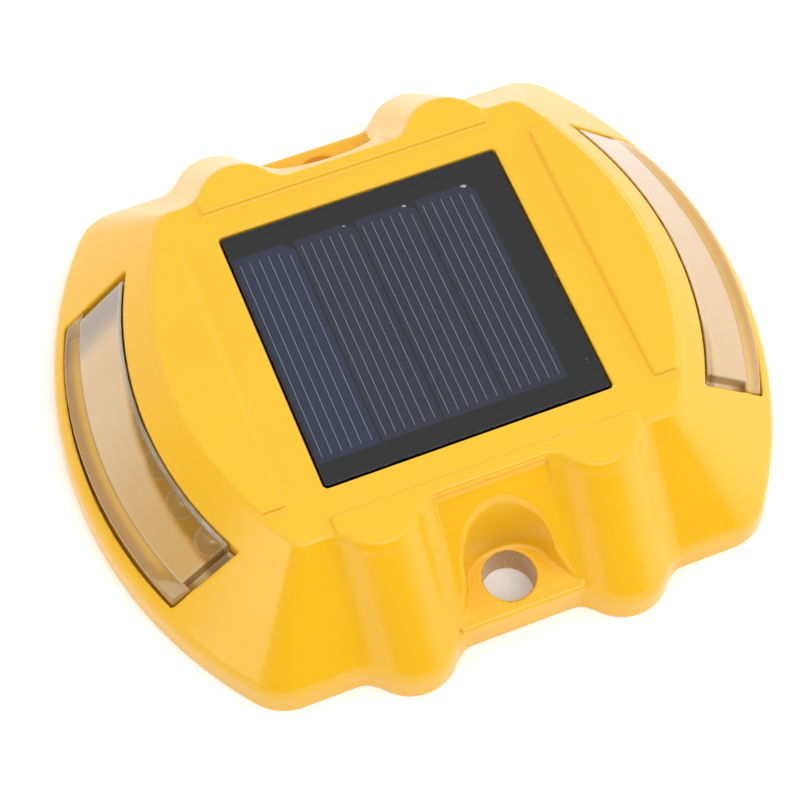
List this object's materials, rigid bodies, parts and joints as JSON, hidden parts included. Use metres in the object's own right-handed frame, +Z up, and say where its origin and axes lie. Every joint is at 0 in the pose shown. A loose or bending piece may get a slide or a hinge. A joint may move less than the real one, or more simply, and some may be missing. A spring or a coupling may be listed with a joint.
{
  "type": "raised pavement marker",
  "caption": "Solar raised pavement marker: low cast housing with sloping sides, a flat solar panel on top, a clear LED lens at each end and a bolt pad on each long side.",
  "frame": {"origin": "centre of the footprint, on the underside that rests on the road", "axes": "+X along the long side towards the right-hand lens, +Y towards the back bolt pad, +Z up out of the road"},
  "size_m": [0.123, 0.1098, 0.0255],
  "materials": {
    "yellow_coat": "semi-gloss powder coat on cast aluminium",
    "clear_lens": "gloss",
    "led_clear": "gloss",
    "clear_epoxy": "gloss",
    "silicon_cell": "satin",
    "black_board": "matte",
    "white_adhesive": "matte",
    "green_board": "satin",
    "black_plastic": "matte",
    "tinned_metal": "satin",
    "zinc_steel": "satin",
    "battery_wrap": "gloss",
    "dark_rubber": "matte",
    "red_wire": "satin",
    "black_wire": "satin"
  },
  "bodies": {
    "root": {"housing": "yellow_coat", "panel_adhesive": "white_adhesive", "panel_backing": "black_board", "solar_cell_1": "silicon_cell", "solar_cell_2": "silicon_cell", "solar_cell_3": "silicon_cell", "solar_cell_4": "silicon_cell", "panel_epoxy": "clear_epoxy", "lens_left": "clear_lens", "lens_right": "clear_lens", "led_board_left": "green_board", "led_board_right": "green_board", "led_left_1": "led_clear", "led_left_2": "led_clear", "led_left_3": "led_clear", "led_left_4": "led_clear", "led_left_5": "led_clear", "led_left_6": "led_clear", "led_right_1": "led_clear", "led_right_2": "led_clear", "led_right_3": "led_clear", "led_right_4": "led_clear", "led_right_5": "led_clear", "led_right_6": "led_clear", "controller_board": "green_board", "controller_chip": "black_plastic", "choke_coil": "black_plastic", "capacitor": "tinned_metal", "solar_socket": "black_plastic", "battery_socket": "black_plastic", "battery_cell": "battery_wrap", "battery_holder": "black_plastic", "battery_contact_left": "tinned_metal", "battery_contact_right": "tinned_metal", "panel_wire_red": "red_wire", "panel_wire_black": "black_wire", "battery_wire_left": "black_wire", "battery_wire_right": "red_wire", "lamp_lead_left": "black_wire", "lamp_lead_right": "black_wire", "base_plate": "black_plastic", "base_seal": "dark_rubber", "cover_screw_1": "zinc_steel", "cover_screw_2": "zinc_steel", "cover_screw_3": "zinc_steel", "cover_screw_4": "zinc_steel", "board_screw_1": "zinc_steel", "board_screw_2": "zinc_steel"}
  },
  "joints": []
}
